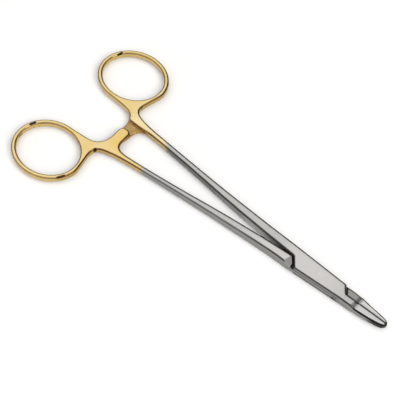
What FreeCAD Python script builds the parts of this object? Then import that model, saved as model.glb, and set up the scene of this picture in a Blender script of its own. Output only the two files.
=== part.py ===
import FreeCAD, Part
import math
import os

V = FreeCAD.Vector

# Surgical needle holder, box-lock pattern, jaws closed on the first tooth of the ratchet.
# Millimetres.  +X runs from the finger rings to the jaw tip, +Y to the ring of the slotted
# (female) half, +Z up.  The origin is the centre of the footprint, on the lowest plane,
# which is the flat underside of the box lock.

# overall
LENGTH = 160.0            # ring end to jaw tip
MID = 2.2                 # height of the mid-plane of the forging
BOX_T = 4.4               # thickness of the box lock
RING_T = 2.65             # thickness of rings and ratchet arms
JAW_T = 3.0               # thickness at the jaw root
TIP_T = 2.6               # thickness at the jaw tip

# finger rings
RING_X = -64.25           # centre, along the instrument
RING_Y = 24.38            # centre, off the axis
HOLE_A = 13.80            # half length of the finger hole
HOLE_B = 11.42            # half width of the finger hole
RING_W = 1.95             # width of the ring band in plan

# box lock
PIVOT_X = 51.0            # centre of the hinge pin
PIN_D = 3.2               # hinge pin diameter
SLOT_T = 1.8              # height of the slot through the female half
TONGUE_T = 1.7            # thickness of the tongue of the male half
SIDE_GAP = 0.12           # side clearance of the tongue in plan
BOX_X0, BOX_Y0 = 40.0, 4.15    # rear end of the straight box side
BOX_X1, BOX_Y1 = 60.0, 3.2     # front end of the straight box side

# jaws
JAW_X = 65.85             # where the top of the box drops to the jaw
INSERT_X0 = 68.4          # rear end of the hard jaw inserts
INSERT_W = 0.95           # thickness of one insert, across the closing line
FACE_GAP = 0.05           # each jaw face stands this far off the closing plane
SERR_PITCH = 0.62         # pitch of the grooves in the gripping faces
SERR_DEPTH = 0.16         # depth of the grooves

# ratchet
ARM_GAP = 0.05            # each arm stands this far off the mid-plane
TOOTH_PITCH = 1.25
TOOTH_DEPTH = 0.55
TOOTH_COUNT = 3

REAR_EXTRA = 0.42         # extra width of the rear notch at its inner corner
FRONT_EXTRA = 0.24        # extra width of the front notch

EDGE_R = 0.65             # rounding of the long edges


def pieces(curve, n):
    # one smooth curve cut into n edges of equal length
    whole = curve.toShape()
    a, b = whole.ParameterRange
    size = whole.Length
    cuts = [whole.getParameterByLength(size * i / n) for i in range(n + 1)]
    cuts[0], cuts[-1] = a, b
    out = []
    for i in range(n):
        c = curve.copy()
        c.segment(cuts[i], cuts[i + 1])
        out.append(c.toShape())
    return out


def smooth(points, n, t0=None, t1=None):
    c = Part.BSplineCurve()
    pts = [V(x, y, 0) for x, y in points]
    if t0 is None:
        c.interpolate(pts)
    else:
        c.interpolate(pts, InitialTangent=V(t0[0], t0[1], 0), FinalTangent=V(t1[0], t1[1], 0))
    return pieces(c, n)


def line(a, b):
    return Part.makeLine(V(a[0], a[1], 0), V(b[0], b[1], 0))


def slab(edges, z0, z1):
    face = Part.Face(Part.Wire(Part.__sortEdges__(edges)))
    face.translate(V(0, 0, z0))
    s = face.extrude(V(0, 0, z1 - z0))
    if s.Volume < 0:
        s.reverse()
    return s


def prism(points, z0, z1):
    n = len(points)
    return slab([line(points[i], points[(i + 1) % n]) for i in range(n)], z0, z1)


def box(x0, x1, y0, y1, z0, z1):
    return Part.makeBox(x1 - x0, y1 - y0, z1 - z0, V(x0, y0, z0))


def mirror_y(shape):
    return shape.mirror(V(0, 0, 0), V(0, 1, 0))


def mirror_z(shape):
    return shape.mirror(V(0, 0, MID), V(0, 0, 1))


def side_profile(runs):
    # solid between a height curve and its mirror below the mid-plane, wide in Y;
    # runs is a list of point lists (x, height above the mid-plane), joined end to end
    edges = []
    for sgn in (1, -1):
        for pts, t0, t1 in runs:
            p = [V(x, -60, MID + sgn * h) for x, h in pts]
            if len(p) == 2:
                edges.append(Part.makeLine(p[0], p[1]))
            else:
                c = Part.BSplineCurve()
                c.interpolate(p, InitialTangent=V(t0[0], 0, sgn * t0[1]),
                              FinalTangent=V(t1[0], 0, sgn * t1[1]))
                edges.append(c.toShape())
    a, b = runs[0][0][0], runs[-1][0][-1]
    edges.append(Part.makeLine(V(a[0], -60, MID - a[1]), V(a[0], -60, MID + a[1])))
    edges.append(Part.makeLine(V(b[0], -60, MID - b[1]), V(b[0], -60, MID + b[1])))
    face = Part.Face(Part.Wire(Part.__sortEdges__(edges)))
    s = face.extrude(V(0, 120, 0))
    if s.Volume < 0:
        s.reverse()
    return s


def one(shape):
    solids = sorted(shape.Solids, key=lambda q: -q.Volume)
    return solids[0]


def rounded(solid, radius, keep):
    edges = [e for e in solid.Edges if keep(e, e.BoundBox)]
    return one(solid.makeFillet(radius, edges))


# plan outline, written for the half whose ring is at +Y -------------------------------

INNER_SHANK = [(36.7, 0.14), (32.0, 0.42), (29.2, 0.60), (23.2, 1.00), (18.2, 1.40),
               (13.2, 1.83), (8.2, 2.28), (3.2, 2.78), (-1.8, 3.32), (-6.8, 3.90),
               (-11.8, 4.45), (-16.8, 4.96), (-21.8, 5.44), (-26.8, 5.88), (-31.8, 6.30),
               (-36.0, 6.60), (-39.2, 6.74), (-41.4, 6.58), (-43.05, 5.95), (-44.10, 4.75),
               (-44.55, 3.00), (-44.68, 1.00), (-44.76, -0.60)]
ARM_TIP = [(-45.00, -1.72), (-45.90, -2.50), (-47.40, -2.78),
           (-48.85, -2.45), (-49.75, -1.45), (-49.93, -0.20)]
ARM_BACK = [(-49.80, 1.40), (-49.70, 3.00), (-49.80, 4.80),
            (-50.25, 6.50), (-51.10, 8.10), (-52.50, 9.42), (-54.60, 10.20),
            (-57.60, 10.62), (-61.00, 10.86), (-64.40, 11.05)]
OUTER_NECK = [(-48.90, 22.6), (-49.40, 20.4), (-49.98, 18.0), (-50.42, 16.0),
              (-50.52, 14.4), (-50.12, 13.0), (-49.20, 11.9), (-47.40, 10.98),
              (-44.80, 10.30), (-41.60, 9.78), (-38.0, 9.38), (-33.6, 8.98),
              (-27.0, 8.42), (-21.8, 7.96), (-15.8, 7.48), (-9.8, 7.00), (-3.3, 6.50),
              (2.7, 6.08), (8.6, 5.72), (14.6, 5.38), (20.2, 5.06), (26.2, 4.74),
              (31.2, 4.55), (35.6, 4.38)]
JAW_FEMALE = [(BOX_X1, BOX_Y1), (62.0, 3.08), (64.5, 3.02), (67.0, 3.02), (69.5, 2.95),
              (72.0, 2.75), (74.4, 2.49), (76.6, 2.19), (78.3, 1.81), (79.3, 1.24),
              (79.82, 0.57), (80.0, FACE_GAP)]
JAW_MALE = [(BOX_X1, BOX_Y1), (62.0, 3.36), (64.5, 3.38), (67.0, 3.06), (69.5, 2.62),
            (72.0, 2.27), (74.4, 2.00), (76.6, 1.75), (78.3, 1.45), (79.3, 1.03),
            (79.82, 0.50), (80.0, FACE_GAP)]
MALE_TRIM = [(-41.6, 0.05), (-38.0, 0.16), (-33.6, 0.25), (-9.8, 0.29), (14.6, 0.36),
             (31.2, 0.40), (35.6, 0.26), (40.0, 0.0)]   # the male shank is this much narrower
REAR_CORNERS = ((36.7, 0.14), (38.45, 0.07), (41.75, -4.067), (46.0, -3.865))
REAR_RADII = (1.1, 0.95)
FRONT_CORNERS = ((55.0, 3.4375), (60.2, 3.1905), (62.45, -0.10), (65.85, -0.12))
FRONT_RADII = (0.90, 0.8)
RELIEF = ((65.85, -0.12), (66.30, -0.30), (68.20, -0.30), (68.40, -FACE_GAP))

SLOPE = (BOX_Y1 - BOX_Y0) / (BOX_X1 - BOX_X0)


def ring_outer(deg):
    t = math.radians(deg)
    return (RING_X + (HOLE_A + RING_W) * math.cos(t), RING_Y + (HOLE_B + RING_W) * math.sin(t))


def between(table, x):
    # straight-line value of a table of (x, value), zero outside it
    for (x0, v0), (x1, v1) in zip(table, table[1:]):
        if x0 <= x <= x1:
            return v0 + (v1 - v0) * (x - x0) / (x1 - x0)
    return 0.0


def handle_edges(trim):
    ring = [ring_outer(d) for d in range(256, 2, -11)]
    outer = [(x, y - between(trim, x)) for x, y in OUTER_NECK]
    pts = INNER_SHANK + ARM_TIP + ARM_BACK + ring + outer + [(BOX_X0, BOX_Y0)]
    return smooth(pts, 24, (-1.0, 0.04), (1.0, SLOPE))


def jaw_edges(points, start_slope):
    return smooth(points, 3, (1.0, start_slope), (0.02, -1.0))


def to_other_side(edges):
    return [e.mirror(V(0, 0, 0), V(0, 1, 0)) for e in edges]


def cornered(points, radii):
    # straight runs joined by arcs
    out = []
    start = V(points[0][0], points[0][1], 0)
    for i, r in enumerate(radii):
        p = V(points[i + 1][0], points[i + 1][1], 0)
        u = (V(points[i][0], points[i][1], 0) - p).normalize()
        w = (V(points[i + 2][0], points[i + 2][1], 0) - p).normalize()
        half = u.getAngle(w) / 2
        d = r / math.tan(half)
        a, b = p + u * d, p + w * d
        mid_dir = (u + w).normalize()
        m = p + mid_dir * (r / math.sin(half) - r)
        out.append(Part.makeLine(start, a))
        out.append(Part.Arc(a, m, b).toShape())
        start = b
    end = V(points[-1][0], points[-1][1], 0)
    out.append(Part.makeLine(start, end))
    return out


def path_points(edges, n):
    pts = []
    for e in edges:
        pts += [(q.x, q.y) for q in e.discretize(n)][(1 if pts else 0):]
    return pts


def finger_hole():
    el = Part.Ellipse(V(RING_X, RING_Y, 0), HOLE_A, HOLE_B)
    q = math.pi / 2
    arcs = [Part.ArcOfEllipse(el, q * i, q * (i + 1)).toShape() for i in range(4)]
    return slab(arcs, -1, 7)


# height above the mid-plane, along the instrument ---------------------------------------

R = RING_T / 2
LOCK_X = 36.7             # where the shank meets the box lock
HANDLE_RUN = ([(-90, R), (-70, R), (-52, R), (-42, R + 0.005), (-30, R + 0.08), (-17, R + 0.20),
               (3, 1.76), (20, 2.00), (30, 2.155), (LOCK_X, BOX_T / 2)],
              (1, 0), (1, 0))
LOCK_RUN = ([(LOCK_X, BOX_T / 2), (JAW_X, BOX_T / 2)], None, None)
TOP_R, TIP_R = JAW_T / 2, TIP_T / 2
JAW_END = (82.0, TIP_R - 0.02)
JAW_RUNS = [
    ([(JAW_X, BOX_T / 2), (JAW_X + 0.45, BOX_T / 2 - 0.08), (JAW_X + 1.00, BOX_T / 2 - 0.31),
      (JAW_X + 1.60, BOX_T / 2 - 0.55), (JAW_X + 2.15, BOX_T / 2 - 0.67),
      (JAW_X + 2.70, TOP_R)], (1, 0), (1, -0.017)),
    ([(JAW_X + 2.70, TOP_R), JAW_END], None, None),
]
M = TONGUE_T / 2
SHOULDER = ((36.95, 4.0), (37.75, 1.2))   # line where the full-thickness shank of the
                                          # male half ends, in plan
SHOULDER_SLOPE = 18.5    # degrees the facet falls from there towards the tongue
MALE_JAW_RUNS = [
    ([(60.0, M), (64.6, M)], None, None),
    ([(64.6, M), (65.9, M + 0.09), (66.9, M + 0.35), (67.45, JAW_T / 2 - 0.09),
      (68.1, JAW_T / 2)], (1, 0), (1, -0.015)),
    ([(68.1, JAW_T / 2), JAW_END], None, None),
]


# ratchet ---------------------------------------------------------------------------------

def ratchet_cut():
    # clears the space above the low arm of the half whose ring is at +Y, and cuts its teeth
    z = MID - ARM_GAP
    s = prism([(-53.5, -5.0), (-53.5, 7.45), (-50.0, 7.15), (-44.0, 6.86), (-38.6, 6.70),
               (-38.6, -5.0)], z, MID + 5)
    for k in range(TOOTH_COUNT):
        y0 = -1.55 + TOOTH_PITCH * k
        w = Part.makePolygon([V(-52, y0, z + 0.01), V(-52, y0, z - TOOTH_DEPTH),
                              V(-52, y0 + TOOTH_PITCH, z + 0.01), V(-52, y0, z + 0.01)])
        s = s.fuse(Part.Face(w).extrude(V(9, 0, 0)))
    return s


# box lock --------------------------------------------------------------------------------

def plate_footprint(gap):
    # region covered by the plates of the female half, grown at the two notches: by gap at
    # the outer side, and by more towards the inner corner of the rear notch
    rear_path = path_points(cornered(REAR_CORNERS, REAR_RADII), 6)[:-1]
    front_path = path_points(cornered(FRONT_CORNERS, FRONT_RADII), 6)
    wide = [gap + REAR_EXTRA * max(0.0, min(1.0, (y + 3.9) / 3.9)) for x, y in rear_path]
    rear = [(x - 0.80 * w, y - 0.60 * w) for (x, y), w in zip(rear_path, wide)]
    front = [(x + 0.85 * (gap + FRONT_EXTRA), y + 0.53 * (gap + FRONT_EXTRA)) for x, y in front_path]
    rear = [(34.0, rear[0][1] + 0.10 - gap * 0.4)] + rear
    pts = rear + [(rear[-1][0] + 0.6, -6.0), (70.0, -6.0), (70.0, FACE_GAP)]
    pts += list(reversed(front)) + [(front[0][0] - 0.3, 6.0), (34.0, 6.0)]
    return pts


SLOT_REAR = ((36.62, -0.40), (40.95, 4.30))     # rear end wall of the slot, in plan
SLOT_FRONT = ((62.85, 0.40), (59.15, -4.30))    # front end wall of the slot, in plan


def shifted(seg, d):
    (x0, y0), (x1, y1) = seg
    n = math.hypot(x1 - x0, y1 - y0)
    nx, ny = (y1 - y0) / n, -(x1 - x0) / n
    return (x0 + nx * d, y0 + ny * d), (x1 + nx * d, y1 + ny * d)


def slot():
    a, b = SLOT_REAR
    c, d = SLOT_FRONT
    pts = [a, b, (64.0, 4.30), (64.0, 0.40), c, d, (37.0, -4.30), (a[0], -1.0)]
    return prism(pts, MID - SLOT_T / 2, MID + SLOT_T / 2)


def pin_hole(diameter):
    return Part.makeCylinder(diameter / 2, BOX_T + 2, V(PIVOT_X, 0, -1))


# the two halves --------------------------------------------------------------------------

def is_rim(e, b):
    # a long top or bottom edge, but not the edge of a gripping face or of a joining face
    flat = b.ZMin > MID + 0.6 or b.ZMax < MID - 0.6
    grip = b.XMin > JAW_X - 0.01 and abs(b.YMax) < 0.32 and abs(b.YMin) < 0.32
    end = b.XLength < 1e-3
    return flat and not grip and not end


def female_outline():
    edges = handle_edges([])
    edges.append(line((BOX_X0, BOX_Y0), FRONT_CORNERS[0]))
    edges += cornered(FRONT_CORNERS, FRONT_RADII)
    edges += [line(RELIEF[i], RELIEF[i + 1]) for i in range(3)]
    edges.append(line(RELIEF[-1], (80.0, -FACE_GAP)))
    edges += to_other_side(jaw_edges(JAW_FEMALE, SLOPE))
    edges.append(line((BOX_X1, -BOX_Y1), REAR_CORNERS[-1]))
    edges += cornered(REAR_CORNERS, REAR_RADII)
    return slab(edges, -0.5, BOX_T + 0.5).cut(finger_hole())


def female_solid():
    plan = female_outline()
    parts = []
    for runs in ([HANDLE_RUN], [LOCK_RUN], JAW_RUNS):
        blank = one(plan.common(side_profile(runs)))
        parts.append(rounded(blank, EDGE_R, is_rim))
    s = one(parts[0].fuse(parts[1:]).removeSplitter())
    s = one(s.cut(ratchet_cut()))
    s = one(s.cut(slot()))
    return one(s.cut(pin_hole(PIN_D)))


def shoulder_cut():
    # wedge above a flat facet that falls forward from the shoulder line
    (x0, y0), (x1, y1) = SHOULDER
    n = math.hypot(x1 - x0, y1 - y0)
    along = V((x1 - x0) / n, (y1 - y0) / n, 0)
    ahead = V(-along.y, along.x, 0)
    if ahead.x < 0:
        ahead = ahead * -1
    t = math.radians(SHOULDER_SLOPE)
    foot = V(x0, y0, BOX_T) - along * 8
    far = foot + ahead * 8 - V(0, 0, 8 * math.tan(t))
    top = foot + ahead * 8 + V(0, 0, 3)
    face = Part.Face(Part.makePolygon([foot, far, top, foot + V(0, 0, 3), foot]))
    return face.extrude(along * 20)


def male_handle():
    edges = handle_edges(MALE_TRIM)
    inner = (BOX_X0, 0.14 - 0.04 * (BOX_X0 - LOCK_X))
    edges.append(line((BOX_X0, BOX_Y0), inner))
    edges.append(line(inner, (LOCK_X, 0.14)))
    plan = slab(edges, -0.5, BOX_T + 0.5).cut(finger_hole())
    parts = []
    for runs in ([HANDLE_RUN], [LOCK_RUN]):
        parts.append(rounded(one(plan.common(side_profile(runs))), EDGE_R, is_rim))
    s = one(parts[0].fuse(parts[1]).removeSplitter())
    s = one(s.cut(shoulder_cut()).cut(mirror_z(shoulder_cut())))
    s = mirror_y(one(mirror_z(s).cut(mirror_z(ratchet_cut()))))
    return s


def male_tongue():
    a, b = shifted(SLOT_REAR, SIDE_GAP)
    c, d = shifted(SLOT_FRONT, SIDE_GAP)

    def at_y(seg, y):
        (x0, y0), (x1, y1) = seg
        return (x0 + (x1 - x0) * (y - y0) / (y1 - y0), y)

    side = BOX_Y0 + SLOPE * (40.95 - BOX_X0)
    pts = [(35.0, -0.30), at_y((a, b), -0.14), at_y((a, b), side), (BOX_X1, BOX_Y1),
           (60.2, 2.3), (64.0, 2.3), (64.0, FACE_GAP), at_y((c, d), FACE_GAP), at_y((c, d), -3.22),
           (BOX_X1 - 0.9, -3.243), (BOX_X0, -BOX_Y0), (36.0, -4.2)]
    pts = [p for i, p in enumerate(pts) if i == 0 or p != pts[i - 1]]
    return prism(pts, MID - M, MID + M)


def male_jaw():
    edges = jaw_edges(JAW_MALE, 0.10)
    edges.append(line((80.0, FACE_GAP), (60.0, FACE_GAP)))
    edges.append(line((60.0, FACE_GAP), (60.0, BOX_Y1)))
    s = slab(edges, -0.5, BOX_T + 0.5)
    s = one(s.common(side_profile(MALE_JAW_RUNS)))
    return rounded(s, EDGE_R, lambda e, b: is_rim(e, b) and b.YMax > 0.2)


def male_solid():
    foot = plate_footprint(0.16)
    s = male_handle().fuse(male_tongue()).fuse(male_jaw())
    s = one(s.removeSplitter())
    for z0, z1 in ((-1.0, MID - M), (MID + M, BOX_T + 1.0)):
        s = one(s.cut(prism(foot, z0, z1)))
    return one(s.cut(pin_hole(PIN_D + 0.10)))


# jaw inserts -----------------------------------------------------------------------------

def insert_seat(side):
    # room taken by one insert; side is +1 for the jaw at +Y
    y = sorted((0.0, side * (FACE_GAP + INSERT_W)))
    return box(INSERT_X0, LENGTH / 2 + 1, y[0], y[1], -1, BOX_T + 1)


def grooves(side):
    # crossed V grooves in a gripping face: across the jaw, and three along it
    f = side * FACE_GAP
    d = side * (FACE_GAP + SERR_DEPTH)
    up = side * (FACE_GAP - 0.05)
    h = SERR_PITCH / 2 * (SERR_DEPTH + 0.05) / SERR_DEPTH * 0.86
    cuts = []
    x = INSERT_X0 + 0.70
    while x < LENGTH / 2 - 0.45:
        w = Part.makePolygon([V(x - h, up, -1), V(x, d, -1), V(x + h, up, -1), V(x - h, up, -1)])
        cuts.append(Part.Face(w).extrude(V(0, 0, BOX_T + 2)))
        x += SERR_PITCH
    for k in (-1.5, -0.5, 0.5, 1.5):
        z = MID + k * SERR_PITCH
        w = Part.makePolygon([V(INSERT_X0 - 0.2, up, z - h), V(INSERT_X0 - 0.2, d, z),
                              V(INSERT_X0 - 0.2, up, z + h), V(INSERT_X0 - 0.2, up, z - h)])
        cuts.append(Part.Face(w).extrude(V(LENGTH / 2 + 1 - INSERT_X0, 0, 0)))
    return cuts


def split_insert(half, side):
    seat = insert_seat(side)
    insert = one(half.common(seat))
    half = one(half.cut(seat))
    return half, one(insert.cut(grooves(side)))


def main():
    female, insert_f = split_insert(female_solid(), -1)
    male, insert_m = split_insert(male_solid(), 1)
    pin = Part.makeCylinder(PIN_D / 2, BOX_T, V(PIVOT_X, 0, 0))
    out = {"female_half": female, "male_half": male, "pivot_pin": pin,
           "insert_female": insert_f, "insert_male": insert_m}
    os.makedirs("parts", exist_ok=True)
    for name, shape in out.items():
        shape.exportStep("parts/" + name + ".step")
        b = shape.BoundBox
        print(name, shape.isValid(), len(shape.Solids), round(shape.Volume, 2),
              [round(v, 2) for v in (b.XMin, b.XMax, b.YMin, b.YMax, b.ZMin, b.ZMax)])


main()
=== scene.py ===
import math

import bpy
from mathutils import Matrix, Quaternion, Vector

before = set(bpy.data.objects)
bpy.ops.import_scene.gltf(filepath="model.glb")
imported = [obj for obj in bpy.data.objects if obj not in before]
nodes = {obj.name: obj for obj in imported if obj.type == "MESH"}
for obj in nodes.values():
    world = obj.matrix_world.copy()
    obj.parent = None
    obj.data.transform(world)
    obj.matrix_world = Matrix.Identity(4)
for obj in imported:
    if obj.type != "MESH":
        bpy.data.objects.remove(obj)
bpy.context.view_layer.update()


# ---------------------------------------------------------------- node helpers

class Graph:
    """A small writer for a material's node tree."""

    def __init__(self, name):
        self.material = bpy.data.materials.new(name)
        self.material.use_nodes = True
        self.tree = self.material.node_tree
        self.tree.nodes.clear()
        self.output = self.tree.nodes.new("ShaderNodeOutputMaterial")
        self.shader = self.tree.nodes.new("ShaderNodeBsdfPrincipled")
        self.link(self.shader.outputs["BSDF"], self.output.inputs["Surface"])
        self.coords = self.tree.nodes.new("ShaderNodeTexCoord")
        self.place = self.coords.outputs["Object"]
        self.normal = self.coords.outputs["Normal"]

    def link(self, source, target):
        self.tree.links.new(source, target)

    def put(self, value, socket):
        if isinstance(value, bpy.types.NodeSocket):
            self.link(value, socket)
        elif value is not None:
            socket.default_value = value

    def math(self, operation, a, b=None, c=None, clamp=False):
        node = self.tree.nodes.new("ShaderNodeMath")
        node.operation = operation
        node.use_clamp = clamp
        for value, socket in zip((a, b, c), node.inputs):
            self.put(value, socket)
        return node.outputs[0]

    def split(self, vector):
        node = self.tree.nodes.new("ShaderNodeSeparateXYZ")
        self.put(vector, node.inputs[0])
        return node.outputs[0], node.outputs[1], node.outputs[2]

    def stretched(self, scale, turn=0.0):
        """The place on the piece, scaled a different amount along each axis."""
        node = self.tree.nodes.new("ShaderNodeMapping")
        node.inputs["Scale"].default_value = scale
        node.inputs["Rotation"].default_value = (0, 0, turn)
        self.link(self.place, node.inputs["Vector"])
        return node.outputs[0]

    def noise(self, vector, scale, detail=3.0, roughness=0.5, distortion=0.0):
        node = self.tree.nodes.new("ShaderNodeTexNoise")
        node.inputs["Scale"].default_value = scale
        node.inputs["Detail"].default_value = detail
        node.inputs["Roughness"].default_value = roughness
        node.inputs["Distortion"].default_value = distortion
        self.put(vector, node.inputs["Vector"])
        return node.outputs["Fac"]

    def remap(self, value, low, high, to_low=0.0, to_high=1.0, smooth=True):
        node = self.tree.nodes.new("ShaderNodeMapRange")
        node.interpolation_type = "SMOOTHSTEP" if smooth else "LINEAR"
        node.clamp = True
        self.put(value, node.inputs["Value"])
        for name, number in (("From Min", low), ("From Max", high), ("To Min", to_low), ("To Max", to_high)):
            self.put(number, node.inputs[name])
        return node.outputs[0]

    def mix(self, factor, a, b, blend="MIX"):
        node = self.tree.nodes.new("ShaderNodeMix")
        node.data_type = "RGBA"
        node.blend_type = blend
        self.put(factor, node.inputs[0])
        self.put(a, node.inputs[6])
        self.put(b, node.inputs[7])
        return node.outputs[2]

    def soft_normal(self, radius):
        """The surface direction with every edge eased over the given radius."""
        node = self.tree.nodes.new("ShaderNodeBevel")
        node.samples = 8
        node.inputs["Radius"].default_value = radius
        return node.outputs[0]

    def true_normal(self):
        return self.tree.nodes.new("ShaderNodeNewGeometry").outputs["Normal"]

    def mix_vector(self, factor, a, b):
        node = self.tree.nodes.new("ShaderNodeMix")
        node.data_type = "VECTOR"
        self.put(factor, node.inputs[0])
        self.put(a, node.inputs[4])
        self.put(b, node.inputs[5])
        return node.outputs[1]

    def ahead_of(self, x, y, a, b):
        """Distance in plan from the line a to b, positive on its right."""
        length = math.hypot(b[0] - a[0], b[1] - a[1])
        nx, ny = (b[1] - a[1]) / length, -(b[0] - a[0]) / length
        dot = self.math("MULTIPLY_ADD", y, ny, self.math("MULTIPLY", x, nx))
        return self.math("SUBTRACT", dot, (a[0] * nx + a[1] * ny) * MM)

    def off_segment(self, a, b):
        """Distance from the segment a to b, given in millimetres."""
        def vector(operation, u, v=None):
            node = self.tree.nodes.new("ShaderNodeVectorMath")
            node.operation = operation
            self.put(u, node.inputs[0])
            if v is not None:
                self.put(v, node.inputs[1])
            return node
        start = tuple(c * MM for c in a)
        run = tuple((q - p) * MM for p, q in zip(a, b))
        length2 = sum(c * c for c in run)
        off = vector("SUBTRACT", self.place, start).outputs["Vector"]
        t = self.math("MULTIPLY", vector("DOT_PRODUCT", off, run).outputs["Value"], 1.0 / length2, clamp=True)
        along = self.tree.nodes.new("ShaderNodeVectorMath")
        along.operation = "SCALE"
        along.inputs[0].default_value = run
        self.put(t, along.inputs["Scale"])
        return vector("DISTANCE", off, along.outputs["Vector"]).outputs["Value"]

    def bump(self, height, strength, distance, normal=None):
        node = self.tree.nodes.new("ShaderNodeBump")
        node.inputs["Strength"].default_value = strength
        node.inputs["Distance"].default_value = distance
        self.link(height, node.inputs["Height"])
        if normal is not None:
            self.link(normal, node.inputs["Normal"])
        return node.outputs[0]


def rgb(r, g, b):
    return (r, g, b, 1.0)


MM = 0.001
MID = 2.2 * MM          # height of the forging's mid-plane
TONE = rgb(0.90, 0.90, 0.90)    # how much light the metals give back, against the paper-white floor


# ---------------------------------------------------------------- steel and gold plating

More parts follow.
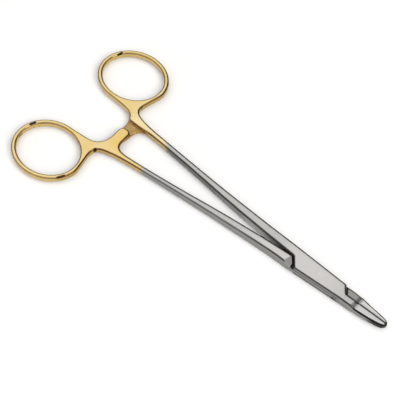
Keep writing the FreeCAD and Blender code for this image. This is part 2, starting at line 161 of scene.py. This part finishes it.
def half_material(name, fade_x, fade_slope, side, marks):
    """Satin-ground stainless steel, with gold plating behind a soft slanted line across the shank."""
    g = Graph(name)
    x, y, z = g.split(g.place)
    nx, ny, nz = g.split(g.normal)
    dx = g.math("SUBTRACT", x, 51.0 * MM)
    off_pin = g.remap(g.math("SQRT", g.math("MULTIPLY_ADD", y, y, g.math("MULTIPLY", dx, dx))), 2.15 * MM, 2.45 * MM)
    by_insert = g.math("MULTIPLY", g.remap(x, 67.6 * MM, 68.0 * MM), g.remap(g.math("ABSOLUTE", y), 1.50 * MM, 1.62 * MM, 1.0, 0.0))
    ease = g.math("MULTIPLY", off_pin, g.math("SUBTRACT", 1.0, by_insert))
    eased = g.mix_vector(ease, g.true_normal(), g.soft_normal(0.60 * MM))
    ex, ey, ez = g.split(eased)

    # where the plating ends: a slanted, slightly ragged line
    ragged = g.noise(g.place, 260.0, 3.0, 0.6)
    wander = g.noise(g.place, 900.0, 2.0, 0.5)
    line = g.math("MULTIPLY_ADD", g.math("SUBTRACT", g.math("MINIMUM", g.math("ABSOLUTE", y), 11.0 * MM), 6.5 * MM), fade_slope, x)
    line = g.math("MULTIPLY_ADD", ragged, 2.2 * MM, line)
    line = g.math("MULTIPLY_ADD", wander, 0.7 * MM, line)
    plated = g.remap(line, fade_x + 0.2 * MM, fade_x + 3.2 * MM, 1.0, 0.0)

    # brushing: fine lines along the shank, cloudy polish and a few stray scratches
    fine = g.noise(g.stretched((260.0, 9000.0, 9000.0)), 1.0, 4.0, 0.65)
    lines = g.noise(g.stretched((60.0, 3200.0, 3200.0)), 1.0, 3.0, 0.6)
    cloud = g.noise(g.place, 170.0, 4.0, 0.55)
    wide = g.noise(g.place, 45.0, 2.0, 0.5)
    grain = g.noise(g.place, 2600.0, 3.0, 0.6)
    stray = g.noise(g.stretched((900.0, 14000.0, 900.0), 0.7), 1.0, 2.0, 0.5)
    scratch = g.remap(stray, 0.70, 0.76)

    # steel colour: slightly warmer and darker where handled, brighter along the brushing
    steel = g.mix(g.remap(cloud, 0.3, 0.7), rgb(0.60, 0.59, 0.572), rgb(0.71, 0.70, 0.68))
    steel = g.mix(g.remap(lines, 0.25, 0.75, 0.0, 0.35), steel, rgb(0.77, 0.76, 0.74))
    steel = g.mix(g.remap(grain, 0.35, 0.70, 0.0, 0.35), steel, rgb(0.44, 0.43, 0.415))
    steel = g.mix(g.remap(wide, 0.55, 0.8, 0.0, 0.25), steel, rgb(0.52, 0.505, 0.48))

    facing = g.remap(g.math("ABSOLUTE", nz), 0.5, 0.8)
    gold = g.mix(g.remap(cloud, 0.3, 0.7), rgb(0.93, 0.68, 0.27), rgb(0.97, 0.77, 0.38))
    gold = g.mix(g.remap(lines, 0.25, 0.75, 0.0, 0.3), gold, rgb(1.0, 0.85, 0.50))
    gold = g.mix(g.remap(wide, 0.5, 0.8, 0.0, 0.4), gold, rgb(0.90, 0.62, 0.24))
    arm = g.math("MULTIPLY", g.remap(x, -51.0 * MM, -47.0 * MM), g.remap(g.math("ABSOLUTE", y), 5.0 * MM, 9.5 * MM, 1.0, 0.0))
    gold = g.mix(g.math("MULTIPLY", g.math("MULTIPLY", arm, g.remap(x, -40.0 * MM, -36.0 * MM, 1.0, 0.0)), 0.55), gold, rgb(0.91, 0.61, 0.15))
    # painted highlight: the top faces of the box half's neck are painted paler gold
    neck_highlight = g.math("MULTIPLY", g.remap(x, -52.0 * MM, -47.0 * MM), facing)
    gold = g.mix(g.math("MULTIPLY", neck_highlight, 0.60 if side > 0 else 0.0), gold, rgb(1.0, 0.90, 0.60))
    ring = g.remap(x, -53.0 * MM, -50.0 * MM, 1.0, 0.0)
    gold = g.mix(g.math("MULTIPLY", ring, 0.12), gold, rgb(0.72, 0.50, 0.18))

    # painted highlight: the top faces of the jaw and of the box plate, and on the tongued half of the shank before it,
    # are painted brighter
    jaw = g.math("MULTIPLY", g.remap(x, 67.2 * MM, 68.4 * MM), 0.90 if side < 0 else 0.50)
    start, end = (12.0, 30.0) if side < 0 else (28.0, 38.0)
    plate = g.math("MULTIPLY", g.remap(x, start * MM, end * MM), g.remap(x, 54.0 * MM, 66.0 * MM, 0.44, 0.0))
    steel = g.mix(g.math("MULTIPLY", g.math("MAXIMUM", jaw, plate), facing), steel, rgb(0.90, 0.885, 0.868))
    colour = g.mix(plated, steel, gold)
    # side walls are painted darker than the ground top and bottom faces as painted shade, and the rounded edges get
    # painted dark reflections
    flat = g.math("ABSOLUTE", nz)
    wall = g.remap(flat, 0.30, 0.75, 1.0, 0.0)
    turned = g.math("ABSOLUTE", ez)
    bx, by, bz = g.split(g.mix_vector(ease, g.true_normal(), g.soft_normal(1.1 * MM)))
    bz = g.math("ABSOLUTE", bz)
    narrow = g.math("MULTIPLY", g.remap(flat, 0.05, 0.40), g.remap(turned, 0.93, 0.998, 1.0, 0.0))
    aim = g.remap(by, -0.02, 0.02)
    near, far = g.remap(bz, 0.960, 0.998, 1.0, 0.0), g.remap(bz, 0.988, 0.9997, 1.0, 0.0)
    broad = g.math("MULTIPLY_ADD", g.math("SUBTRACT", far, near), aim, near)
    broad = g.math("MULTIPLY", broad, g.remap(flat, 0.20, 0.60))
    shank = g.math("MULTIPLY", g.remap(x, -48.0 * MM, -40.0 * MM), g.remap(x, 60.0 * MM, 64.0 * MM, 1.0, 0.0))
    lean = g.math("MULTIPLY", ring, 0.30)
    edge = g.math("MULTIPLY_ADD", g.math("SUBTRACT", broad, narrow), shank, narrow)
    edge = g.math("MULTIPLY", edge, g.math("SUBTRACT", 1.0, lean))
    if side < 0:
        # on the shoulder facet of the tongued half the painted dark edge lines are weakened; the facet gets painted
        # shade further down
        facet = g.math("MULTIPLY", g.remap(nx, 0.18, 0.26), g.remap(x, 43.0 * MM, 44.0 * MM, 1.0, 0.0))
        facet = g.math("MULTIPLY", facet, g.remap(x, 34.0 * MM, 35.0 * MM))
        facet = g.math("MULTIPLY", facet, facing)
        edge = g.math("MULTIPLY", edge, g.math("MULTIPLY_ADD", facet, -0.33, 1.0))
        # the painted dark line along the outer edge of the tongued shank is painted lighter here
        lighter_near_edge_shade = g.math("MULTIPLY", g.remap(x, -31.0 * MM, -27.0 * MM), g.remap(x, 8.0 * MM, 30.0 * MM, 1.0, 0.0))
        lighter_near_edge_shade = g.math("MULTIPLY", lighter_near_edge_shade, g.math("SUBTRACT", 1.0, aim))
        edge = g.math("MULTIPLY", edge, g.math("MULTIPLY_ADD", lighter_near_edge_shade, -0.14, 1.0))
    # painted light: the box half's walls facing -y along the shank are painted lighter, most towards the box
    inner = g.math("MULTIPLY", g.remap(ny, -0.80, -0.50, 1.0, 0.0), 1.0 if side > 0 else 0.0)
    inner = g.math("MULTIPLY", inner, g.remap(x, 36.5 * MM, 38.5 * MM, 1.0, 0.0))
    wall_shade_level = g.math("ADD", g.remap(x, -6.0 * MM, 8.0 * MM, -0.16, 0.0), g.remap(x, 10.0 * MM, 20.0 * MM, 0.0, 0.40))
    wall_shade_level = g.math("MULTIPLY_ADD", inner, wall_shade_level, 0.235)
    wall_shade_tone = g.mix(wall_shade_level, rgb(0.0, 0.0, 0.0), rgb(1.0, 0.982, 0.945))
    colour = g.mix(g.math("MULTIPLY", wall, 0.85), colour, g.mix(plated, wall_shade_tone, g.mix(ring, rgb(0.56, 0.375, 0.115), rgb(0.74, 0.53, 0.20))))
    # painted shade: dark reflections are painted along the rounded edges, wider on one side of the piece than the
    # other, and weaker on the rings
    colour = g.mix(g.math("MULTIPLY", edge, 0.94), colour, g.mix(plated, rgb(0.030, 0.029, 0.027), rgb(0.10, 0.042, 0.008)))

    # hairlines on the side walls: the forging's parting line, and the seams of the box over the tongue
    height_off = g.math("ABSOLUTE", g.math("SUBTRACT", z, MID))
    on_wall = g.remap(flat, 0.15, 0.40, 1.0, 0.0)
    in_box = g.math("MULTIPLY", g.remap(x, 40.2 * MM, 41.0 * MM), g.remap(x, 60.5 * MM, 62.0 * MM, 1.0, 0.0))
    parting = g.math("MULTIPLY", g.remap(height_off, 0.06 * MM, 0.20 * MM, 1.0, 0.0), g.math("SUBTRACT", 1.0, in_box))
    seam = g.math("MULTIPLY", g.remap(g.math("ABSOLUTE", g.math("SUBTRACT", height_off, 0.875 * MM)), 0.14 * MM, 0.36 * MM, 1.0, 0.0), in_box)
    hair = g.math("MULTIPLY", on_wall, g.math("ADD", g.math("MULTIPLY", parting, 0.45), g.math("MULTIPLY", seam, 1.0)))
    colour = g.mix(hair, colour, g.mix(plated, rgb(0.03, 0.029, 0.027), rgb(0.22, 0.10, 0.02)))

    # painted shade in the recess of the ratchet arm, under the other half's arm, over mottled plating
    own_y = g.math("MULTIPLY", y, side)
    own_z = g.math("MULTIPLY", g.math("SUBTRACT", z, MID), side)
    along = g.math("MULTIPLY", g.remap(x, -54.2 * MM, -52.2 * MM), g.remap(x, -40.5 * MM, -38.5 * MM, 1.0, 0.0))
    across = g.math("MULTIPLY", g.remap(own_y, 7.2 * MM, 7.7 * MM, 1.0, 0.0), g.remap(own_z, -0.75 * MM, -0.35 * MM))
    below = g.remap(own_z, 1.22 * MM, 1.30 * MM, 1.0, 0.0)
    recess_shade = g.math("MULTIPLY", g.math("MULTIPLY", along, across), below)
    mottle = g.remap(g.noise(g.place, 1100.0, 3.0, 0.6), 0.3, 0.7)
    colour = g.mix(g.math("MULTIPLY", recess_shade, 0.8), colour, g.mix(mottle, rgb(0.25, 0.12, 0.028), rgb(0.50, 0.28, 0.07)))

    # the top of the step down to the jaw gets painted shade, and the edge of the jaw and of its tip get painted black
    # reflections
    step = g.math("MULTIPLY", g.remap(x, 65.8 * MM, 66.6 * MM), g.remap(x, 68.0 * MM, 68.9 * MM, 1.0, 0.0))
    step = g.math("MULTIPLY", step, g.remap(flat, 0.5, 0.8))
    colour = g.mix(g.math("MULTIPLY", step, 0.62 if side < 0 else 0.20), colour, rgb(0.16, 0.156, 0.15))
    rim = g.math("MULTIPLY", g.remap(x, 66.5 * MM, 68.5 * MM), g.remap(turned, 0.90, 0.995, 1.0, 0.0))
    rim = g.math("MULTIPLY", rim, g.remap(flat, 0.02, 0.30))
    tip = g.math("MULTIPLY", g.remap(x, 71.5 * MM, 76.0 * MM), g.remap(turned, 0.93, 0.998, 1.0, 0.0))
    tip = g.math("MAXIMUM", tip, g.remap(x, 79.15 * MM, 79.5 * MM))
    colour = g.mix(g.math("MULTIPLY", g.math("MAXIMUM", rim, tip), 0.95), colour, rgb(0.012, 0.012, 0.012))

    # small dark pits and scuffs
    if marks:
        spots = None
        for a, b, radius, depth in marks:
            far = g.off_segment(a, b)
            spot = g.remap(far, radius * 0.55 * MM, radius * 1.15 * MM, depth, 0.0)
            spots = spot if spots is None else g.math("MAXIMUM", spots, spot)
        colour = g.mix(spots, colour, rgb(0.018, 0.014, 0.008))

    # painted shadow in the corners of the box: along the front notch, the rear notch and the closing line on the
    # tongued half, and on the rear notch walls of the other half
    if side < 0:
        front = g.math("MINIMUM", g.ahead_of(x, y, (62.45, -0.10), (60.2, 3.19)), g.math("ADD", y, 0.11 * MM))
        front = g.remap(g.math("ABSOLUTE", front), 0.45 * MM, 0.95 * MM, 1.0, 0.0)
        front = g.math("MULTIPLY", front, g.remap(x, 65.9 * MM, 66.6 * MM, 1.0, 0.0))
        front = g.math("MULTIPLY", front, g.remap(x, 59.0 * MM, 59.4 * MM))
        rear = g.ahead_of(x, y, (38.45, 0.07), (41.75, -4.07))
        rear = g.math("MULTIPLY", g.remap(g.math("ABSOLUTE", g.math("SUBTRACT", rear, 0.15 * MM)), 0.55 * MM, 0.85 * MM, 1.0, 0.0), g.remap(x, 43.0 * MM, 43.5 * MM, 1.0, 0.0))
        low = g.remap(height_off, 1.00 * MM, 1.25 * MM, 1.0, 0.0)
        crevice = g.math("MULTIPLY", g.math("MULTIPLY", g.math("MAXIMUM", front, rear), low), facing)
        shut = g.math("MULTIPLY", g.remap(x, 61.6 * MM, 62.2 * MM), g.remap(x, 66.4 * MM, 67.2 * MM, 1.0, 0.0))
        shut = g.math("MULTIPLY", shut, g.remap(g.math("ABSOLUTE", y), 0.24 * MM, 0.46 * MM, 0.9, 0.0))
        crevice = g.math("MAXIMUM", crevice, shut)
        # painted shade on the low root of the tongued jaw and on its shoulder facet
        root = g.math("MULTIPLY", g.remap(x, 59.8 * MM, 60.4 * MM), g.remap(x, 67.0 * MM, 68.0 * MM, 1.0, 0.0))
        root = g.math("MULTIPLY", root, g.remap(height_off, 1.10 * MM, 1.45 * MM, 1.0, 0.0))
        colour = g.mix(g.math("MULTIPLY", g.math("MULTIPLY", g.math("MAXIMUM", root, g.math("MULTIPLY", facet, 0.7)), facing), 0.60), colour, rgb(0.22, 0.215, 0.20))
        colour = g.mix(g.math("MULTIPLY", crevice, 0.98), colour, rgb(0.010, 0.010, 0.009))
    else:
        rear = g.remap(g.math("ABSOLUTE", g.ahead_of(x, y, (38.45, 0.07), (41.75, -4.07))), 0.45 * MM, 0.75 * MM, 1.0, 0.0)
        rear = g.math("MULTIPLY", g.math("MULTIPLY", rear, g.remap(flat, 0.45, 0.75, 1.0, 0.0)), g.remap(nx, -0.60, -0.45, 1.0, 0.0))
        colour = g.mix(g.math("MULTIPLY", rear, 0.95), colour, rgb(0.010, 0.010, 0.009))
    g.link(g.mix(1.0, colour, TONE, "MULTIPLY"), g.shader.inputs["Base Color"])
    g.shader.inputs["Metallic"].default_value = 1.0

    rough = g.remap(cloud, 0.3, 0.7, 0.26, 0.34)
    rough = g.math("MULTIPLY_ADD", g.remap(lines, 0.3, 0.7), 0.07, rough)
    rough = g.math("MULTIPLY_ADD", scratch, 0.10, rough)
    rough = g.math("MULTIPLY_ADD", plated, -0.08, rough)
    g.link(rough, g.shader.inputs["Roughness"])

    height = g.math("MULTIPLY_ADD", fine, 0.6, g.math("MULTIPLY", lines, 0.4))
    height = g.math("MULTIPLY_ADD", grain, 0.18, height)
    height = g.math("MULTIPLY_ADD", scratch, -0.5, height)
    height = g.math("MULTIPLY_ADD", hair, -1.5, height)
    g.link(g.bump(height, 0.25, 0.02 * MM, eased), g.shader.inputs["Normal"])
    return g.material


def insert_material(name):
    """Sintered hard metal: darker and finer-grained than the steel, with a faint braze tint."""
    g = Graph(name)
    grain = g.noise(g.place, 5200.0, 4.0, 0.6)
    cloud = g.noise(g.place, 700.0, 3.0, 0.5)
    colour = g.mix(g.remap(cloud, 0.3, 0.7), rgb(0.74, 0.73, 0.72), rgb(0.82, 0.81, 0.80))
    colour = g.mix(g.remap(grain, 0.6, 0.8, 0.0, 0.4), colour, rgb(0.40, 0.39, 0.38))
    x, y, z = g.split(g.place)
    nx, ny, nz = g.split(g.normal)
    flat = g.math("ABSOLUTE", nz)
    # painted shade along the closing line between the jaws
    shut = g.remap(g.math("ABSOLUTE", y), 0.16 * MM, 0.52 * MM, 1.0, 0.0)
    colour = g.mix(g.math("MULTIPLY", shut, 0.88), colour, rgb(0.05, 0.048, 0.045))
    # painted dark reflections on the rounded edges, and painted shade on the side walls
    edge = g.math("MULTIPLY", g.remap(flat, 0.10, 0.42), g.remap(flat, 0.86, 0.985, 1.0, 0.0))
    colour = g.mix(g.math("MULTIPLY", g.remap(flat, 0.20, 0.60, 1.0, 0.0), 0.6), colour, rgb(0.16, 0.155, 0.15))
    colour = g.mix(g.math("MULTIPLY", edge, 0.88), colour, rgb(0.04, 0.038, 0.035))
    # painted black reflection at the rounded tip
    tip = g.math("MULTIPLY", g.remap(x, 76.0 * MM, 78.6 * MM), g.remap(flat, 0.90, 0.995, 1.0, 0.0))
    tip = g.math("MAXIMUM", tip, g.remap(x, 79.0 * MM, 79.4 * MM))
    colour = g.mix(g.math("MULTIPLY", tip, 0.95), colour, rgb(0.012, 0.012, 0.012))
    g.link(g.mix(1.0, colour, TONE, "MULTIPLY"), g.shader.inputs["Base Color"])
    g.shader.inputs["Metallic"].default_value = 1.0
    g.link(g.remap(grain, 0.3, 0.7, 0.34, 0.48), g.shader.inputs["Roughness"])
    g.link(g.bump(grain, 0.3, 0.02 * MM), g.shader.inputs["Normal"])
    return g.material


def pin_material(name, centre):
    """The pin's ends are ground flush, with faint turning rings and the box's own grinding lines across them."""
    g = Graph(name)
    x, y, z = g.split(g.place)
    dx = g.math("SUBTRACT", x, centre[0])
    dy = g.math("SUBTRACT", y, centre[1])
    radius = g.math("SQRT", g.math("ADD", g.math("MULTIPLY", dx, dx), g.math("MULTIPLY", dy, dy)))
    rings = g.math("SINE", g.math("MULTIPLY", radius, 2 * math.pi / (0.11 * MM)))
    lines = g.noise(g.stretched((60.0, 3200.0, 3200.0)), 1.0, 3.0, 0.6)
    cloud = g.noise(g.place, 600.0, 3.0, 0.5)
    colour = g.mix(g.remap(cloud, 0.3, 0.7), rgb(0.60, 0.59, 0.572), rgb(0.71, 0.70, 0.68))
    rim = g.remap(radius, 1.50 * MM, 1.60 * MM)
    # painted highlight: the pin is painted brighter, like the top faces of the box plate around it
    colour = g.mix(0.42, colour, rgb(0.90, 0.885, 0.868))
    colour = g.mix(g.math("MULTIPLY", rim, 0.35), colour, rgb(0.30, 0.30, 0.30))
    g.link(g.mix(1.0, colour, TONE, "MULTIPLY"), g.shader.inputs["Base Color"])
    g.shader.inputs["Metallic"].default_value = 1.0
    g.link(g.remap(lines, 0.3, 0.7, 0.24, 0.36), g.shader.inputs["Roughness"])
    height = g.math("MULTIPLY_ADD", rings, 0.12, lines)
    g.link(g.bump(height, 0.25, 0.02 * MM), g.shader.inputs["Normal"])
    return g.material


def dress(node, material):
    mesh_slots = nodes[node].material_slots
    for s in mesh_slots:
        s.material = material


# small dark pits and scuffs, as (one end, other end, radius, strength), in millimetres
BOX_PIT = ((58.93, -3.24, 0.90), (58.90, -3.25, 1.50), 0.75, 1.0)
MARKS_FEMALE = [
    ((-77.04, 28.93, 3.23), (-76.59, 30.61, 3.52), 0.62, 1.0),
    ((-50.53, 15.01, 2.55), (-50.52, 14.59, 2.45), 0.36, 0.9),
    BOX_PIT,
]
MARKS_MALE = [
    ((-77.99, -20.69, 3.52), (-77.26, -18.92, 3.52), 0.62, 1.0),
    ((-77.58, -27.30, 2.37), (-77.96, -25.63, 2.15), 0.40, 0.7),
    ((-51.47, -31.72, 3.41), (-50.21, -29.46, 3.50), 0.56, 0.9),
    ((-50.04, -12.64, 3.24), (-49.98, -12.78, 2.57), 0.80, 1.0),
    BOX_PIT,
]

dress("female_half", half_material("steel_gold_female", -30.0 * MM, 0.9, 1.0, MARKS_FEMALE))
dress("male_half", half_material("steel_gold_male", -30.0 * MM, 0.0, -1.0, MARKS_MALE))
dress("insert_female", insert_material("hard_metal_female"))
dress("insert_male", insert_material("hard_metal_male"))
dress("pivot_pin", pin_material("pin_steel_ground", (51.0 * MM, 0.0)))


# ---------------------------------------------------------------- floor

def floor_object():
    mesh = bpy.data.meshes.new("floor")
    r = 3.0
    mesh.from_pydata([(-r, -r, 0), (r, -r, 0), (r, r, 0), (-r, r, 0)], [], [(0, 1, 2, 3)])
    mesh.update()
    obj = bpy.data.objects.new("floor", mesh)
    bpy.context.scene.collection.objects.link(obj)
    g = Graph("floor_pale")
    soft = g.noise(g.place, 3.0, 2.0, 0.5)
    g.link(g.mix(g.remap(soft, 0.3, 0.7), rgb(0.94, 0.94, 0.94), rgb(0.96, 0.96, 0.96)), g.shader.inputs["Base Color"])
    g.shader.inputs["Roughness"].default_value = 0.9
    g.shader.inputs["Specular IOR Level"].default_value = 0.1
    obj.data.materials.append(g.material)
    return obj


floor = floor_object()


# ---------------------------------------------------------------- studio light

CAMERA_AZ = math.radians(40.911)
CAMERA_EL = math.radians(56.07)
CAMERA_ROLL = math.radians(-0.091)
TARGET = Vector((-6.8 * MM, 0.35 * MM, MID))
DISTANCE = 0.382232


def area(name, azimuth, elevation, distance, size, power, colour=(1, 1, 1)):
    """A square softbox that faces the part. Azimuth is measured as the camera's: where the light comes from."""
    data = bpy.data.lights.new(name, "AREA")
    data.shape = "RECTANGLE"
    data.size, data.size_y = size
    data.energy = power
    data.color = colour
    obj = bpy.data.objects.new(name, data)
    a, e = math.radians(azimuth), math.radians(elevation)
    direction = Vector((math.sin(a) * math.cos(e), -math.cos(a) * math.cos(e), math.sin(e)))
    obj.location = direction * distance
    obj.rotation_euler = direction.to_track_quat("Z", "Y").to_euler()
    bpy.context.scene.collection.objects.link(obj)
    return obj


area("key", 80.0, 42.0, 1.6, (1.0, 1.0), 14.6)

world = bpy.data.worlds.new("studio")
bpy.context.scene.world = world
world.use_nodes = True
wt = world.node_tree
wt.nodes.clear()


def w_put(value, socket):
    if isinstance(value, bpy.types.NodeSocket):
        wt.links.new(value, socket)
    else:
        socket.default_value = value


def w_math(operation, a, b=0.0, c=0.0):
    node = wt.nodes.new("ShaderNodeMath")
    node.operation = operation
    for value, socket in zip((a, b, c), node.inputs):
        w_put(value, socket)
    return node.outputs[0]


def w_step(value, low, high, to_low=0.0, to_high=1.0):
    node = wt.nodes.new("ShaderNodeMapRange")
    node.interpolation_type = "SMOOTHSTEP"
    node.clamp = True
    for number, key in ((value, "Value"), (low, "From Min"), (high, "From Max"), (to_low, "To Min"), (to_high, "To Max")):
        w_put(number, node.inputs[key])
    return node.outputs[0]


w_coord = wt.nodes.new("ShaderNodeTexCoord")
w_split = wt.nodes.new("ShaderNodeSeparateXYZ")
wt.links.new(w_coord.outputs["Generated"], w_split.inputs[0])
wx, wy, wz = w_split.outputs
# a big ceiling softbox, black flags low down at the far side, a low reflector at the near side
ceiling = w_step(wz, 0.40, 0.70, 0.16, 0.95)
flag = w_step(w_math("MULTIPLY_ADD", wx, 0.30, w_math("MULTIPLY", wy, 0.95)), 0.42, 0.62)
flag = w_math("MULTIPLY", flag, w_step(wx, 0.05, 0.45, 1.0, 0.0))
near = w_step(w_math("MULTIPLY_ADD", wx, -0.35, w_math("MULTIPLY", wy, -0.94)), 0.45, 0.85)
near = w_math("MULTIPLY", near, w_step(wz, 0.20, 0.45, 1.0, 0.0))
level = w_math("MULTIPLY", ceiling, w_math("MULTIPLY_ADD", flag, -0.93, 1.0))
level = w_math("MULTIPLY_ADD", near, 1.6, w_math("MULTIPLY", level, w_math("SUBTRACT", 1.0, near)))
w_tint = wt.nodes.new("ShaderNodeMix")
w_tint.data_type = "RGBA"
w_put(level, w_tint.inputs[0])
w_put(rgb(0.0, 0.0, 0.0), w_tint.inputs[6])
w_put(rgb(1.0, 0.99, 0.975), w_tint.inputs[7])
w_tint.clamp_factor = False
w_bg = wt.nodes.new("ShaderNodeBackground")
w_out = wt.nodes.new("ShaderNodeOutputWorld")
wt.links.new(w_tint.outputs[2], w_bg.inputs["Color"])
wt.links.new(w_bg.outputs[0], w_out.inputs["Surface"])
w_bg.inputs["Strength"].default_value = 1.12


# ---------------------------------------------------------------- camera

cam_data = bpy.data.cameras.new("camera")
cam_data.sensor_width = 36.0
cam_data.sensor_fit = "HORIZONTAL"
cam_data.lens = 90.0
cam_data.shift_x = -0.078 / 400
cam_data.shift_y = -(200.0 - 190.333) / 400
cam_data.clip_start = 0.01
cam_data.clip_end = 20.0
camera = bpy.data.objects.new("camera", cam_data)
back = Vector((math.sin(CAMERA_AZ) * math.cos(CAMERA_EL), -math.cos(CAMERA_AZ) * math.cos(CAMERA_EL), math.sin(CAMERA_EL)))
camera.location = TARGET + back * DISTANCE
camera.rotation_euler = (Quaternion(back, -CAMERA_ROLL) @ back.to_track_quat("Z", "Y")).to_euler()
bpy.context.scene.collection.objects.link(camera)
bpy.context.scene.camera = camera

bpy.context.scene.view_settings.view_transform = "Standard"
bpy.context.scene.view_settings.look = "None"
bpy.context.scene.view_settings.exposure = 0.0
